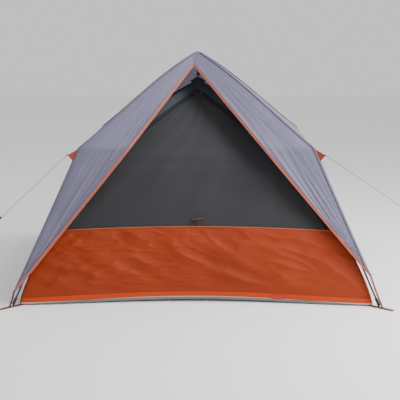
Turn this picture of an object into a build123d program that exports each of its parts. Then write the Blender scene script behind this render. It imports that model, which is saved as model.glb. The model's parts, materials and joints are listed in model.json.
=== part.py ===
"""Two-person pop-up tent: a folding umbrella frame, an inner tent hung under it and a fly over it.

Millimetres, +Z up, origin on the ground under the middle of the floor. The door faces -Y.
Each of the four poles lies in the vertical plane through the middle and one corner.
"""

import math
import os

from build123d import *

os.makedirs("parts", exist_ok=True)

# ---- driving dimensions of the frame
HUB_PIN_RADIUS = 55.0       # from the middle of the hub to each strut's pin
HUB_PIN_Z = 1190.0
ELBOW_RADIUS = 852.0        # from the middle of the tent to each elbow pin
ELBOW_Z = 752.0
ROD_R = 4.75                # glass-fibre rod
ROD_OFFSET = 11.0           # rod's axis outside its pins, so that the pole folds flat
SLEEVE_R = 8.5
SLEEVE_GAP = 14.0           # pin to the near end of a sleeve
SLEEVE_LENGTH = 42.0
SLEEVE_DEPTH = 10.0         # solid web between a sleeve's near end and its rod
KNUCKLE_R = 9.0
TONGUE_WIDTH = 8.0
CHEEK_GAP = 0.25            # between a tongue and each cheek
CHEEK_THICKNESS = 4.0
PIN_R = 2.5
PIN_HEAD = 1.5              # thickness of a pin's head
FIT = 0.04                  # radial clearance of a pin or rod in its hole
FOOT_PIN_R = 3.5
RING_HOLE_R = 6.0
RING_R = 10.0

# ---- driving dimensions of the fabric
CLOTH = 1.5
APEX_Z = 1266.0             # top of the fly
FLY_PEAK_Y = -100.0         # top of the fly's front opening
FLY_ELBOW = (617.0, 774.0)  # half width and height of the fly at the elbows
FLY_HEM = (904.0, 112.0)    # half width and height of the fly's hem corners
FLOOR_HALF = 895.0          # corner of the floor
FLOOR_BOW = 80.0            # how far each side of the floor curves in
SHOULDER = (556.0, 690.0)   # half width and height of the inner tent's shoulders
INNER_PEAK_Z = 1100.0
DOOR_SILL_Z = 360.0
ZIP_INSET = 85.0            # zip's plan distance in from the roof seam, along X
DOOR_GAP = 3.0
DOOR_SILL_HALF = 655.0
FLOOR_THICKNESS = 2.0       # floor sheet and corner webbing
WEB_WIDTH = 25.0
CORD_R = 1.25

CORNERS = {"front_left": 225, "front_right": 315, "back_left": 135, "back_right": 45}

strut_angle = math.degrees(math.atan2(HUB_PIN_Z - ELBOW_Z, ELBOW_RADIUS - HUB_PIN_RADIUS))
leg_angle = 59.0
leg_dir = Vector(math.cos(math.radians(leg_angle)), 0, -math.sin(math.radians(leg_angle)))
leg_out = Vector(-leg_dir.Z, 0, leg_dir.X)
strut_dir = Vector(math.cos(math.radians(strut_angle)), 0, -math.sin(math.radians(strut_angle)))
strut_out = Vector(-strut_dir.Z, 0, strut_dir.X)
hub_pin = Vector(HUB_PIN_RADIUS, 0, HUB_PIN_Z)
elbow_pin = Vector(ELBOW_RADIUS, 0, ELBOW_Z)
strut_length = (elbow_pin - hub_pin).length
leg_length = (ELBOW_Z + ROD_OFFSET * leg_out.Z) / -leg_dir.Z
foot = elbow_pin + leg_out * ROD_OFFSET + leg_dir * leg_length


def save(name, shape):
    """One sub-part's file."""
    export_step(shape, f"parts/{name}.step")


def to_corner(shape, corner):
    """A piece drawn over +X, turned to its corner of the tent."""
    return shape.rotate(Axis.Z, CORNERS[corner])


def rod(start, end, radius):
    """A straight round bar between two points."""
    along = end - start
    return Solid.make_cylinder(radius, along.length, Plane(origin=start, z_dir=along))


def across(centre, radius, width, middle=0.0):
    """A round boss or pin, its axis across the pole, centred on y = middle."""
    base = Plane(origin=centre + Vector(0, middle - width / 2, 0), z_dir=(0, 1, 0))
    return Solid.make_cylinder(radius, width, base)


def arm(pin, along, out, width, middle=0.0):
    """The flat web from a knuckle's eye to its sleeve, which lies to the outer side of the pin."""
    far = pin + along * (SLEEVE_GAP + 8)
    outer = ROD_OFFSET + SLEEVE_R - 3
    ring = [
        pin - out * (KNUCKLE_R - 3),
        far + out * (ROD_OFFSET - SLEEVE_R + 2),
        far + out * outer,
        pin + along * SLEEVE_GAP + out * outer,
        pin + out * (KNUCKLE_R - 1),
    ]
    shift = Vector(0, middle - width / 2, 0)
    face = Face(Wire.make_polygon([p + shift for p in ring], close=True))
    return Solid.extrude(face, Vector(0, width, 0))


def sleeve(pin, along, out):
    """The round socket that holds the end of a rod."""
    start = pin + out * ROD_OFFSET + along * SLEEVE_GAP
    return rod(start, start + along * SLEEVE_LENGTH, SLEEVE_R)


def rod_hole(pin, along, out):
    """The bore of a sleeve, which stops short of the web."""
    start = pin + out * ROD_OFFSET + along * (SLEEVE_GAP + SLEEVE_DEPTH)
    return rod(start, start + along * SLEEVE_LENGTH, ROD_R + FIT)


def knuckle(pin, along, out):
    """The tongue half of a hinge: one eye, its web and its sleeve."""
    body = across(pin, KNUCKLE_R, TONGUE_WIDTH) + arm(pin, along, out, TONGUE_WIDTH)
    body = body + sleeve(pin, along, out)
    return body - across(pin, PIN_R + FIT, 40) - rod_hole(pin, along, out)


def fork(pin, along, out):
    """The fork half of an elbow: two cheeks, their webs and their sleeve."""
    middle = TONGUE_WIDTH / 2 + CHEEK_GAP + CHEEK_THICKNESS / 2
    body = sleeve(pin, along, out)
    for side in (middle, -middle):
        body = body + across(pin, KNUCKLE_R, CHEEK_THICKNESS, side)
        body = body + arm(pin, along, out, CHEEK_THICKNESS, side)
    return body - across(pin, PIN_R + FIT, 40) - rod_hole(pin, along, out)


def headed_pin(pin, length):
    """A hinge pin with a round head at each end."""
    shank = across(pin, PIN_R, length + 2 * PIN_HEAD)
    head = across(pin, PIN_R + 2, PIN_HEAD, (length + PIN_HEAD) / 2)
    tail = across(pin, PIN_R + 2, PIN_HEAD, -(length + PIN_HEAD) / 2)
    return shank + head + tail


# ---- the four folding poles
fork_width = TONGUE_WIDTH + 2 * CHEEK_GAP + 2 * CHEEK_THICKNESS
pin_length = fork_width + 0.2
socket_end = SLEEVE_GAP + SLEEVE_DEPTH + 0.5
strut_rod = rod(
    hub_pin + strut_out * ROD_OFFSET + strut_dir * socket_end,
    elbow_pin + strut_out * ROD_OFFSET - strut_dir * socket_end,
    ROD_R,
)
FOOT_START = 52.0           # foot tip's upper end and the middle of its round end, before the ground
FOOT_END = 16.0
foot_start = foot - leg_dir * FOOT_START
foot_end = foot - leg_dir * FOOT_END
leg_rod = rod(
    elbow_pin + leg_out * ROD_OFFSET + leg_dir * socket_end,
    foot_end - leg_dir * 10,
    ROD_R,
)
foot_tip = rod(foot_start, foot_end, SLEEVE_R - 1)
foot_tip = foot_tip + Solid.make_sphere(SLEEVE_R - 1, Plane(origin=foot_end))
foot_tip = foot_tip + Solid.make_cylinder(
    FOOT_PIN_R, foot_end.Z - 0.6, Plane(origin=(foot_end.X, 0, 0.6))
)
foot_tip = foot_tip - rod(foot_start - leg_dir * 5, foot_end - leg_dir * 9.5, ROD_R + FIT)

pole_pieces = {
    "strut_rod": strut_rod,
    "strut_hub_eye": knuckle(hub_pin, strut_dir, strut_out),
    "elbow_tongue": knuckle(elbow_pin, strut_dir * -1, strut_out),
    "elbow_fork": fork(elbow_pin, leg_dir, leg_out),
    "elbow_pin": headed_pin(elbow_pin, pin_length),
    "leg_rod": leg_rod,
    "foot_tip": foot_tip,
}
for corner in CORNERS:
    for piece, shape in pole_pieces.items():
        save(f"{piece}_{corner}", to_corner(shape, corner))

# ---- the hub: a moulded disc with four forks, its cap and its pins
hub_cheek = TONGUE_WIDTH / 2 + CHEEK_GAP
hub_body = Solid.make_cylinder(42, 22, Plane(origin=(0, 0, HUB_PIN_Z - 11)))
hub_slots = []
hub_pins = []
for corner in CORNERS:
    lug = Box(30, fork_width, 18).moved(Location((47, 0, HUB_PIN_Z))).solid()
    hub_body = hub_body + to_corner(lug, corner)
    slot = Box(30, 2 * hub_cheek, 30).moved(Location((59, 0, HUB_PIN_Z))).solid()
    hub_slots.append(to_corner(slot, corner))
    hub_slots.append(to_corner(across(hub_pin, PIN_R + FIT, 40), corner))
    hub_pins.append(to_corner(headed_pin(hub_pin, pin_length), corner))
for slot in hub_slots:
    hub_body = hub_body - slot
hub_eye = Solid.make_cylinder(12, 10, Plane(origin=(0, 0, HUB_PIN_Z - 21)))
hub_eye = hub_eye - Box(30, 9, 4).moved(Location((0, 0, HUB_PIN_Z - 17))).solid()
hub_body = hub_body + hub_eye
hub_cap = Solid.make_cylinder(38, 6, Plane(origin=(0, 0, HUB_PIN_Z + 11)))
hub_dome = Solid.make_cone(38, 24, 12, Plane(origin=(0, 0, HUB_PIN_Z + 17)))
save("hub_body", hub_body)
save("hub_cap", hub_cap + hub_dome)
save("hub_pins", Compound(hub_pins))

# ---- fabric: each panel is a flat-faceted sheet, thickened towards a point inside the tent
INSIDE = Vector(0, 0, 330)
FLY_SHRINK = 1 - CLOTH / 640
INNER_SHRINK = 1 - CLOTH / 560


def facet(points, shrink):
    """A flat piece of cloth: its outline, and the same outline drawn in towards INSIDE."""
    outer = [Vector(*p) for p in points]
    inner = [INSIDE + (p - INSIDE) * shrink for p in outer]
    count = len(outer)
    faces = [Face(Wire.make_polygon(outer, close=True)), Face(Wire.make_polygon(inner, close=True))]
    for i in range(count):
        j = (i + 1) % count
        edge = [outer[i], outer[j], inner[j], inner[i]]
        faces.append(Face(Wire.make_polygon(edge, close=True)))
    solid = Solid(Shell(faces))
    return solid if solid.volume > 0 else Solid(solid.wrapped.Reversed())


def panel(*facets, shrink):
    """Several flat pieces of cloth that share edges, as one solid."""
    body = facet(facets[0], shrink)
    for points in facets[1:]:
        body = body + facet(points, shrink)
    return body


def turned(points, quarter_turns):
    """Points turned about the middle of the tent by quarter turns."""
    for _ in range(quarter_turns):
        points = [(-y, x, z) for x, y, z in points]
    return points


# ---- the fly: five panels, open at the front
apex = (0, 0, APEX_Z)
elbow_l = (-FLY_ELBOW[0], -FLY_ELBOW[0], FLY_ELBOW[1])
elbow_r = (FLY_ELBOW[0], -FLY_ELBOW[0], FLY_ELBOW[1])
hem_l = (-FLY_HEM[0], -FLY_HEM[0], FLY_HEM[1])
hem_r = (FLY_HEM[0], -FLY_HEM[0], FLY_HEM[1])
for name, turns in (("fly_right", 1), ("fly_back", 2), ("fly_left", 3)):
    roof = turned([apex, elbow_l, elbow_r], turns)
    wall = turned([elbow_l, hem_l, hem_r, elbow_r], turns)
    save(name, panel(roof, wall, shrink=FLY_SHRINK))
# the front opening's edges look straight from the front and bend where the fly bends, at the elbows
fly_slope = (APEX_Z - FLY_ELBOW[1]) / FLY_ELBOW[0]
fly_peak_z = APEX_Z + FLY_PEAK_Y * fly_slope
fly_peak = (0, FLY_PEAK_Y, fly_peak_z)
bend_x = FLY_HEM[0] * (fly_peak_z - FLY_ELBOW[1]) / (fly_peak_z - FLY_HEM[1])
bend_l = (-bend_x, -FLY_ELBOW[0], FLY_ELBOW[1])
bend_r = (bend_x, -FLY_ELBOW[0], FLY_ELBOW[1])
front_left = ([apex, elbow_l, bend_l, fly_peak], [elbow_l, hem_l, bend_l])
front_right = ([apex, fly_peak, bend_r, elbow_r], [elbow_r, bend_r, hem_r])
save("fly_front_left", panel(*front_left, shrink=FLY_SHRINK))
save("fly_front_right", panel(*front_right, shrink=FLY_SHRINK))

# the binding is a round cord of cloth just under the front edges, mitred at the top
PIPING_R = 4.0
PIPING_DROP = CLOTH + PIPING_R + 0.8
roof_out = Vector(0, -fly_slope, 1).normalized()
wall_out = Vector(0, -(FLY_ELBOW[1] - FLY_HEM[1]), FLY_HEM[0] - FLY_ELBOW[0]).normalized()
fold_out = (roof_out + wall_out).normalized()
fold_drop = PIPING_DROP / fold_out.dot(roof_out)
peak_low = Vector(*fly_peak) - roof_out * PIPING_DROP
piping_route = [peak_low]
for bend, hem in ((bend_l, hem_l), (bend_r, hem_r)):
    bend_low = Vector(*bend) - fold_out * fold_drop
    hem_low = Vector(*hem) - wall_out * PIPING_DROP
    hem_low = hem_low + (bend_low - hem_low).normalized() * 24
    half = [hem_low, bend_low]
    piping_route = half + piping_route if bend is bend_l else piping_route + half[::-1]
piping_line = FilletPolyline(*[tuple(p) for p in piping_route], radius=[60, 14, 60])
piping_end = Plane(origin=piping_line @ 0, z_dir=piping_line % 0)
piping = sweep(piping_end * Circle(PIPING_R), path=piping_line).solid()
save("fly_piping", piping)

# ---- the inner tent: floor, four walls, roof, door and front border
mid = FLOOR_HALF - FLOOR_BOW
floor_points = []
for turns in range(4):
    floor_points += turned([(-FLOOR_HALF, -FLOOR_HALF, 0), (0, -mid, 0)], turns)
floor_face = Face(Wire.make_polygon([Vector(*p) for p in floor_points], close=True))
floor_sheet = Solid.extrude(floor_face, Vector(0, 0, FLOOR_THICKNESS))
web_start = FLOOR_HALF * math.sqrt(2) - 60
for corner in CORNERS:
    notch = Box(100, WEB_WIDTH, 10, align=(Align.MIN, Align.CENTER, Align.CENTER))
    floor_sheet = floor_sheet - to_corner(notch.moved(Location((web_start, 0, 0))).solid(), corner)
save("floor_sheet", floor_sheet)

wall_foot = FLOOR_THICKNESS
corner_l = (-FLOOR_HALF + 4, -FLOOR_HALF + 4, wall_foot)
corner_r = (FLOOR_HALF - 4, -FLOOR_HALF + 4, wall_foot)
middle = (0, -mid + 4, wall_foot)
shoulder_l = (-SHOULDER[0], -SHOULDER[0], SHOULDER[1])
shoulder_r = (SHOULDER[0], -SHOULDER[0], SHOULDER[1])
peak = (0, 0, INNER_PEAK_Z)


def seam(z):
    """Half width of the wall seam at a height, from the shoulder down to the floor's corner."""
    share = (SHOULDER[1] - z) / (SHOULDER[1] - wall_foot)
    return SHOULDER[0] + share * (FLOOR_HALF - 4 - SHOULDER[0])


for name, turns in (("inner_wall_right", 1), ("inner_wall_back", 2), ("inner_wall_left", 3)):
    save(
        name,
        panel(
            turned([shoulder_l, middle, shoulder_r], turns),
            turned([shoulder_l, corner_l, middle], turns),
            turned([shoulder_r, middle, corner_r], turns),
            shrink=INNER_SHRINK,
        ),
    )
sill = seam(DOOR_SILL_Z)
sill_l = (-sill, -sill, DOOR_SILL_Z)
sill_r = (sill, -sill, DOOR_SILL_Z)
save(
    "front_wall",
    panel(
        [sill_l, middle, sill_r],
        [sill_l, corner_l, middle],
        [sill_r, middle, corner_r],
        shrink=INNER_SHRINK,
    ),
)
save(
    "inner_roof",
    panel(
        turned([shoulder_l, shoulder_r, peak], 1),
        turned([shoulder_l, shoulder_r, peak], 2),
        turned([shoulder_l, shoulder_r, peak], 3),
        shrink=INNER_SHRINK,
    ),
)

roof_slope = (INNER_PEAK_Z - SHOULDER[1]) / SHOULDER[0]


def on_roof(x, y):
    """A point on the front slope of the inner roof."""
    return (x, y, INNER_PEAK_Z + y * roof_slope)


def on_front(x, z):
    """A point on the upper front wall, between the sill and the shoulders."""
    return (x, -seam(z), z)


zip_top = on_roof(0, -ZIP_INSET)
zip_knee = SHOULDER[0] - ZIP_INSET
door_low = DOOR_SILL_Z + DOOR_GAP
border_left = [
    [peak, shoulder_l, on_roof(-zip_knee, -SHOULDER[0]), zip_top],
    [shoulder_l, sill_l, on_front(-DOOR_SILL_HALF, DOOR_SILL_Z), on_roof(-zip_knee, -SHOULDER[0])],
]
border_right = [[(-x, y, z) for x, y, z in reversed(points)] for points in border_left]
save("front_border", panel(*border_left, *border_right, shrink=INNER_SHRINK))

door_top = on_roof(0, -ZIP_INSET - DOOR_GAP * 2)
door_knee = zip_knee - DOOR_GAP
door_foot = DOOR_SILL_HALF - DOOR_GAP
save(
    "mesh_door",
    panel(
        [door_top, on_roof(-door_knee, -SHOULDER[0]), on_roof(door_knee, -SHOULDER[0])],
        [
            on_roof(-door_knee, -SHOULDER[0]),
            on_front(-door_foot, door_low),
            on_front(door_foot, door_low),
            on_roof(door_knee, -SHOULDER[0]),
        ],
        shrink=INNER_SHRINK,
    ),
)

# ---- the zips: one straight tape each side of the door's top, and a slider on each
roof_normal = Vector(0, -roof_slope, 1).normalized()
TAPE_WIDTH = 12.0
TAPE_LIFT = 0.5
SLIDER_LIFT = 2.4
SLIDER_START = 18.0         # closed sliders' plan distance down from the door's top


def zip_frame(side, y, lift):
    """Axes on a zip: X along it and down, Z out of the roof."""
    start = Vector(*on_roof(side * (-y - ZIP_INSET), y))
    end = Vector(*on_roof(side * (zip_knee), -SHOULDER[0]))
    return Plane(origin=start + roof_normal * lift, x_dir=end - start, z_dir=roof_normal)


zip_tapes = []
for side in (-1, 1):
    frame = zip_frame(side, -ZIP_INSET - 20, TAPE_LIFT)
    tape_end = Vector(*on_roof(side * (zip_knee - 8), -SHOULDER[0] + 8))
    tape_length = (tape_end - frame.origin).length
    tape = Box(tape_length, TAPE_WIDTH, 1.2, align=(Align.MIN, Align.CENTER, Align.MIN))
    zip_tapes.append(tape.moved(frame.location).solid())
    slider_frame = zip_frame(side, -ZIP_INSET - SLIDER_START, SLIDER_LIFT)
    slider = Box(16, 9, 4, align=(Align.CENTER, Align.CENTER, Align.MIN))
    bridge = Box(10, 3, 3, align=(Align.CENTER, Align.CENTER, Align.MIN)).moved(Location((0, 0, 4)))
    pull = Box(16, 6, 1.6, align=(Align.MIN, Align.CENTER, Align.MIN)).moved(Location((5, 0, 4.5)))
    whole = (slider + bridge + pull).moved(slider_frame.location)
    save(f"zip_slider_{'left' if side < 0 else 'right'}", whole.solid())
save("zip_tapes", Compound(zip_tapes))

# ---- the peak: a cap on the inner tent and the strap that hangs it from the hub
CAP_HALF = 34.0
cap = loft(
    [
        Plane(origin=(0, 0, INNER_PEAK_Z + 4)) * Rectangle(2 * CAP_HALF, 2 * CAP_HALF),
        Plane(origin=(0, 0, INNER_PEAK_Z + 22)) * Rectangle(30, 30),
    ],
    ruled=True,
)
save("peak_cap", cap.solid())
strap_low = INNER_PEAK_Z + 22.5
strap_high = HUB_PIN_Z - 21.4
strap = Box(20, 2, strap_high - strap_low, align=(Align.CENTER, Align.CENTER, Align.MIN))
save("hanging_strap", strap.moved(Location((0, 0, strap_low))).solid())

# ---- the toggle that ties the door when it is let down, on the net just above the sill
TOGGLE_R = 5.0
TOGGLE_LENGTH = 60.0
TOGGLE_Z = 403.0
wall_normal = Vector(0, -(SHOULDER[1] - wall_foot), FLOOR_HALF - 4 - SHOULDER[0]).normalized()
toggle_middle = Vector(*on_front(8, TOGGLE_Z)) + wall_normal * (TOGGLE_R + 1.5)
toggle_end = Plane(origin=toggle_middle - Vector(TOGGLE_LENGTH / 2, 0, 0), z_dir=(1, 0, 0))
save("door_toggle", Solid.make_cylinder(TOGGLE_R, TOGGLE_LENGTH, toggle_end))

# ---- the floor's corners: webbing with a ring for the foot and an eyelet for a peg
WEB_END = 1400.0
PEG_HOLE_AT = 1382.0
PEG_HOLE_R = 6.5
straps = []
rings = []
for corner in CORNERS:
    web = Box(WEB_END - web_start, WEB_WIDTH, FLOOR_THICKNESS, align=(Align.MIN, Align.CENTER, Align.MIN))
    web = web.moved(Location((web_start, 0, 0))).solid()
    web = web - Solid.make_cylinder(RING_R + FIT, 20, Plane(origin=(foot_end.X, 0, -5)))
    web = web - Solid.make_cylinder(PEG_HOLE_R, 20, Plane(origin=(PEG_HOLE_AT, 0, -5)))
    ring = Solid.make_cylinder(RING_R, 3.0, Plane(origin=(foot_end.X, 0, 0)))
    ring = ring - Solid.make_cylinder(RING_HOLE_R, 20, Plane(origin=(foot_end.X, 0, -5)))
    straps.append(to_corner(web, corner))
    rings.append(to_corner(ring, corner))
save("corner_straps", Compound(straps))
save("corner_rings", Compound(rings))

# short ties from the fly's hem corners down to the webbing, outside the legs
ties = []
tie_top = Vector(FLY_HEM[0] * math.sqrt(2) + 3.5, 0, FLY_HEM[1] + 18)
tie_foot = Vector(foot_end.X + 24, 0, 4.6)
tie_run = tie_foot - tie_top
tie_plane = Plane(origin=tie_top, x_dir=(0, 1, 0), z_dir=tie_run)
for corner in CORNERS:
    tie = Box(15, 1.5, tie_run.length, align=(Align.CENTER, Align.CENTER, Align.MIN))
    ties.append(to_corner(tie.moved(tie_plane.location).solid(), corner))
save("fly_corner_ties", Compound(ties))

# ---- guy points at the front elbows: a cloth tab, a taut cord and its runner
# each cord's loop is beyond the runner, with the bight where a peg goes
GUYS = {
    "left": {"side": -1, "end": Vector(-1150, -700, 300)},
    "right": {"side": 1, "end": Vector(1235, -700, 365)},
}
TAB_OUT = 40.0
LOOP_LENGTH = 110.0
RUNNER_AT = 160.0           # the runner's middle, from the cord's far end
# the loop's corners: along the cord from where the loop starts, and square to it, upwards
LOOP = [
    (0, 0),
    (45, -9),
    (82, -10),
    (106, -7),
    (112, 3.5),
    (100, 13),
    (60, 14),
    (5, 7),
    (-34.5, 4.2),
]
for name, guy in GUYS.items():
    side = guy["side"]
    ridge = Vector(side * FLY_ELBOW[0], -FLY_ELBOW[0], FLY_ELBOW[1])
    hem = Vector(side * FLY_HEM[0], -FLY_HEM[0], FLY_HEM[1])
    down = (hem - ridge).normalized()
    outward = Vector(side, -0.25, 0.1).normalized()
    base = ridge + outward * 1.5
    corners = [base + down * 4, base + down * 74, base + outward * TAB_OUT + down * 44]
    across_tab = (corners[1] - corners[0]).cross(corners[2] - corners[0]).normalized()
    tab_face = Face(Wire.make_polygon([p - across_tab for p in corners], close=True))
    save(f"guy_tab_{name}", Solid.extrude(tab_face, across_tab * 2))
    start = corners[2] + outward * 1.5
    end = guy["end"]
    along = (end - start).normalized()
    up = Vector(0, 0, 1)
    flat = (up - along * up.dot(along)).normalized()
    loop_start = end - along * LOOP_LENGTH
    route = [start] + [loop_start + along * far + flat * high for far, high in LOOP]
    radii = []
    for i in range(1, len(route) - 1):
        before = route[i] - route[i - 1]
        after = route[i + 1] - route[i]
        turn = before.get_angle(after)
        radii.append(0.45 * min(before.length, after.length) / math.tan(math.radians(turn / 2)))
    line = FilletPolyline(*[tuple(p) for p in route], radius=radii)
    tube = sweep(Plane(origin=line @ 0, z_dir=line % 0) * Circle(CORD_R), path=line)
    save(f"guy_line_{name}", tube.solid())
    runner_at = end - along * RUNNER_AT
    runner_plane = Plane(origin=runner_at, x_dir=along, z_dir=flat)
    runner = Box(30, 6, 12).moved(runner_plane.location).solid()
    runner = runner - rod(runner_at - along * 40, runner_at + along * 40, CORD_R + 0.08)
    save(f"guy_runner_{name}", runner)
    print("guy", name, "route", [tuple(round(c, 1) for c in p) for p in route])
    print("guy", name, "length", round(line.length, 1), "runner's axis", along)
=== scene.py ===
import json
import math

import bpy
import numpy as np
from mathutils import Vector, noise
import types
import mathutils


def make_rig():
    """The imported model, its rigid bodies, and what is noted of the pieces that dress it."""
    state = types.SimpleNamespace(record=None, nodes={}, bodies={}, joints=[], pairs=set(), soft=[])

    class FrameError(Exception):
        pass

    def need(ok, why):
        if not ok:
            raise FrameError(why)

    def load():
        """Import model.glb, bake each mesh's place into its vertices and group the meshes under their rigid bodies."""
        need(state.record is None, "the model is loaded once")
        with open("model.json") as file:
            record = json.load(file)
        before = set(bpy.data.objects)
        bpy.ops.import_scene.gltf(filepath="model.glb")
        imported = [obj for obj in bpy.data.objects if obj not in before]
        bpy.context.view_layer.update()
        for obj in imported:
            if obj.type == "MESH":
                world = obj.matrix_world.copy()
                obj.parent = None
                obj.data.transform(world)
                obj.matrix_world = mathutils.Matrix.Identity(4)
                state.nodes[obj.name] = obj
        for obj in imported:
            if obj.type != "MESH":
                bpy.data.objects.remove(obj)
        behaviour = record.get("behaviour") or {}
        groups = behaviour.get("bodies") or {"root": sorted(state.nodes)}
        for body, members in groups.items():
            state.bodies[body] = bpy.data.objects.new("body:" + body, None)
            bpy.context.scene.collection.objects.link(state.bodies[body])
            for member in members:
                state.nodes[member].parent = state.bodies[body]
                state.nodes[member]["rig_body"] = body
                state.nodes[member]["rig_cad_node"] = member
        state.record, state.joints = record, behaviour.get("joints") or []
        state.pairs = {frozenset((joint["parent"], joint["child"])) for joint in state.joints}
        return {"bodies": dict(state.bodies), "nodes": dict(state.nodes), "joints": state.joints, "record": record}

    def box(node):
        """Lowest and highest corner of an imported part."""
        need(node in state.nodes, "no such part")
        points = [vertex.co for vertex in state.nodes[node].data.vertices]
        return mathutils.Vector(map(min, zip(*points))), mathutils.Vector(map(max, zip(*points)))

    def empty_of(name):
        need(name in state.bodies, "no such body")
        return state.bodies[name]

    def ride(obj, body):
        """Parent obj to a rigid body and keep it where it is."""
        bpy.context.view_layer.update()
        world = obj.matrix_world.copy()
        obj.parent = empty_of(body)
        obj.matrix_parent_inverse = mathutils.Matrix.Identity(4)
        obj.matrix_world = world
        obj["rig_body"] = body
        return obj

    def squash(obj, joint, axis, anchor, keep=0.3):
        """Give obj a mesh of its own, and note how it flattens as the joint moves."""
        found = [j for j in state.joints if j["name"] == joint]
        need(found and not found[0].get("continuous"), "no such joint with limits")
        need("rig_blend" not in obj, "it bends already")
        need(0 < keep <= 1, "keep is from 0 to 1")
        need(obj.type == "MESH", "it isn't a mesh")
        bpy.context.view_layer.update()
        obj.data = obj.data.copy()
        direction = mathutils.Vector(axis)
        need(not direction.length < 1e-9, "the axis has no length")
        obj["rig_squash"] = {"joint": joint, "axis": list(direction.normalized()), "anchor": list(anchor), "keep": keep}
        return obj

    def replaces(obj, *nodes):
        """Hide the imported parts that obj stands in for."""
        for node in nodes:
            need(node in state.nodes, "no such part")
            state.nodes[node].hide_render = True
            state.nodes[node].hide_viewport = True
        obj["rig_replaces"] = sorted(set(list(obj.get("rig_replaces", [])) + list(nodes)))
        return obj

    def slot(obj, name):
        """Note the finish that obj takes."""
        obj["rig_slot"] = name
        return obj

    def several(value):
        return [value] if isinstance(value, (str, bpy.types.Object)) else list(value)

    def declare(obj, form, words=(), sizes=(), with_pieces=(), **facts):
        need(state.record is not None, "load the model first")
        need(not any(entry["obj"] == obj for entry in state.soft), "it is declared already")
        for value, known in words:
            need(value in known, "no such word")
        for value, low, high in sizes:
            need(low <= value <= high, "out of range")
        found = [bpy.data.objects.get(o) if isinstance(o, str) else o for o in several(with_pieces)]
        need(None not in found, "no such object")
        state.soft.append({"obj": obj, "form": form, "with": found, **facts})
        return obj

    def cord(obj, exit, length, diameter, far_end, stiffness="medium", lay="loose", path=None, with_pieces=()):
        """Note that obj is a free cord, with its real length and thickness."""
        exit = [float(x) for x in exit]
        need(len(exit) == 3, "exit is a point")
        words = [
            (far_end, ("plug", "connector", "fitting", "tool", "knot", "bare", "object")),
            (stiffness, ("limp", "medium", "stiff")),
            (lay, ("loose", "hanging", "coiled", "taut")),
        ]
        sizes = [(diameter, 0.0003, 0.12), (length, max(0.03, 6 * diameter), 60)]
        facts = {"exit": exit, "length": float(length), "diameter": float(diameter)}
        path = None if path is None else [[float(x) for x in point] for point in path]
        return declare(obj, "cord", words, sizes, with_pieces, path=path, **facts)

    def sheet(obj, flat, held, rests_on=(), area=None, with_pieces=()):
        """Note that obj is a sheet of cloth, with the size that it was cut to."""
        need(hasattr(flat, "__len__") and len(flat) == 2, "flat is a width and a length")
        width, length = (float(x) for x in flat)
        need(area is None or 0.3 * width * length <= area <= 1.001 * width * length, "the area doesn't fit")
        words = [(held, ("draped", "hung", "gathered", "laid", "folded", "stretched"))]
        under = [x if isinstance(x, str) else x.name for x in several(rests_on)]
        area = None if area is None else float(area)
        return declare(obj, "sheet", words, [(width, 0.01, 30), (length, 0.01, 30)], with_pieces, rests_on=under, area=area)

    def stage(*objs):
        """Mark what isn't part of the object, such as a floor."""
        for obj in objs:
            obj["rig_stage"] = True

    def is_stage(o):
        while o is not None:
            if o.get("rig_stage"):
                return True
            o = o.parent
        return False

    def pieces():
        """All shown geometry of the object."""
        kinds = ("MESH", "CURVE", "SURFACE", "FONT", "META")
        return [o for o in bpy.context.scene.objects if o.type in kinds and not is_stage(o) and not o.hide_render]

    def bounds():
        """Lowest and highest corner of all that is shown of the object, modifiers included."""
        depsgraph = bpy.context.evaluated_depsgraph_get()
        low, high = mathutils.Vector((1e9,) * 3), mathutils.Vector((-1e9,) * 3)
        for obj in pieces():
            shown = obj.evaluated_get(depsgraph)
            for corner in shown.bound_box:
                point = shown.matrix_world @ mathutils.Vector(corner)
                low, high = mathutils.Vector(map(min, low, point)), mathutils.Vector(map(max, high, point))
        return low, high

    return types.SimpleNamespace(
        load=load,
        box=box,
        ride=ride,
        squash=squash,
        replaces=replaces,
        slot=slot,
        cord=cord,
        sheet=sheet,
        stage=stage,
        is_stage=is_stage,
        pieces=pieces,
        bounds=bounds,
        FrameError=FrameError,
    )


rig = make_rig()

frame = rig.load()
cad_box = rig.bounds()
bpy.ops.object.select_all(action="DESELECT")

# The camera stands a few paces in front of the tent at eye height and looks down a little, from
# slightly to the right of the middle.
CAMERA_TURN = math.radians(0.7)
CAMERA_AWAY = 6.0
bpy.ops.object.camera_add(
    location=(CAMERA_AWAY * math.sin(CAMERA_TURN), -CAMERA_AWAY * math.cos(CAMERA_TURN), 1.4),
    rotation=(math.radians(80.5), 0, CAMERA_TURN - 0.002),
)
camera = bpy.context.object
camera.data.sensor_width = 36
camera.data.lens = 93
bpy.context.scene.camera = camera

# Guy lines: 2.5 mm braided polyester cord, tied to a tab at each front elbow. Each runs taut to its
# runner and ends in the loop that a peg holds. The routes are in metres, tab end first.
GUY_DIAMETER = 0.0025
GUY_LENGTHS = {"left": 0.80, "right": 0.83}
GUY_ROUTES = {
    "left": [
        (-0.6748, -0.6436, 0.7406), (-1.0696, -0.6905, 0.3745), (-1.0965, -0.6937, 0.3374),
        (-1.1228, -0.6968, 0.3116), (-1.1424, -0.6991, 0.2976), (-1.1538, -0.7005, 0.3012),
        (-1.1514, -0.7002, 0.3163), (-1.1229, -0.6968, 0.3442), (-1.0780, -0.6915, 0.3763),
        (-1.0473, -0.6878, 0.4010),
    ],
    "right": [
        (0.6748, -0.6436, 0.7406), (1.1440, -0.6908, 0.4260), (1.1762, -0.6941, 0.3936),
        (1.2063, -0.6971, 0.3722), (1.2278, -0.6993, 0.3614), (1.2386, -0.7004, 0.3668),
        (1.2339, -0.6999, 0.3814), (1.2013, -0.6966, 0.4044), (1.1520, -0.6916, 0.4291),
        (1.1177, -0.6882, 0.4487),
    ],
}


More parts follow.
